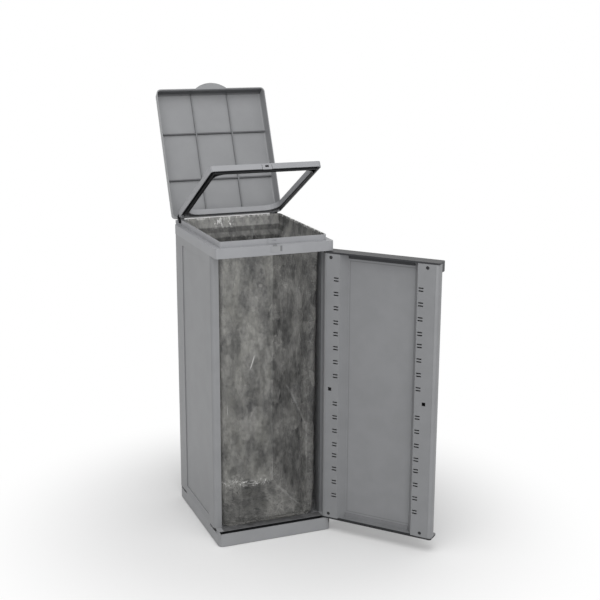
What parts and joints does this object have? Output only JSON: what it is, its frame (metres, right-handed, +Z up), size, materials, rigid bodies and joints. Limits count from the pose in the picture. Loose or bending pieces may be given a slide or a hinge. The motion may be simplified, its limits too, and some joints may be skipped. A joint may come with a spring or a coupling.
{
  "type": "refuse sack cabinet",
  "caption": "Slim grey cabinet for a refuse sack, with a hinged lid, a clamping ring that holds the sack and a tall side-hinged door.",
  "frame": {"origin": "centre of the base tray's underside", "axes": "+Z up, -Y towards the door side, +X to the door hinge side"},
  "size_m": [0.564, 0.8268, 1.2457],
  "materials": {
    "moulded_grey": "satin",
    "frame_grey": "satin",
    "moulded_black": "matte",
    "liner_grey": "satin",
    "cap_dark": "satin",
    "steel_pin": "satin",
    "sack_film": "glossy"
  },
  "bodies": {
    "cabinet": {"base_tray": "moulded_grey", "side_panel_left": "moulded_grey", "side_panel_right": "moulded_grey", "back_panel": "moulded_grey", "panel_clips": "moulded_black", "top_frame": "frame_grey", "catch_plate": "frame_grey", "lid_hinge_pin_left": "steel_pin", "lid_hinge_pin_right": "steel_pin", "sack": "sack_film"},
    "lid": {"lid": "moulded_grey"},
    "ring": {"ring_cover": "frame_grey", "ring_frame": "moulded_black"},
    "door": {"door_skin": "moulded_grey", "door_liner": "liner_grey", "door_top_cap": "cap_dark", "door_bottom_cap": "cap_dark", "door_pin_top": "steel_pin", "door_pin_bottom": "steel_pin", "door_screws": "steel_pin"}
  },
  "joints": [
    {"name": "door_hinge", "type": "hinge", "parent": "cabinet", "child": "door", "pos_m": [0.1635, -0.175, 0.43], "axis": [0, 0, 1], "range_deg": [-131, 39]},
    {"name": "lid_hinge", "type": "hinge", "parent": "cabinet", "child": "lid", "pos_m": [0, 0.2045, 0.857], "axis": [1, 0, 0], "range_deg": [0, 113.2]},
    {"name": "ring_hinge", "type": "hinge", "parent": "cabinet", "child": "ring", "pos_m": [0, 0.2045, 0.857], "axis": [1, 0, 0], "range_deg": [0, 28.9]}
  ],
  "couplings": [
    {"joint": "ring_hinge", "follows": "lid_hinge", "ratio": 0.2553}
  ]
}
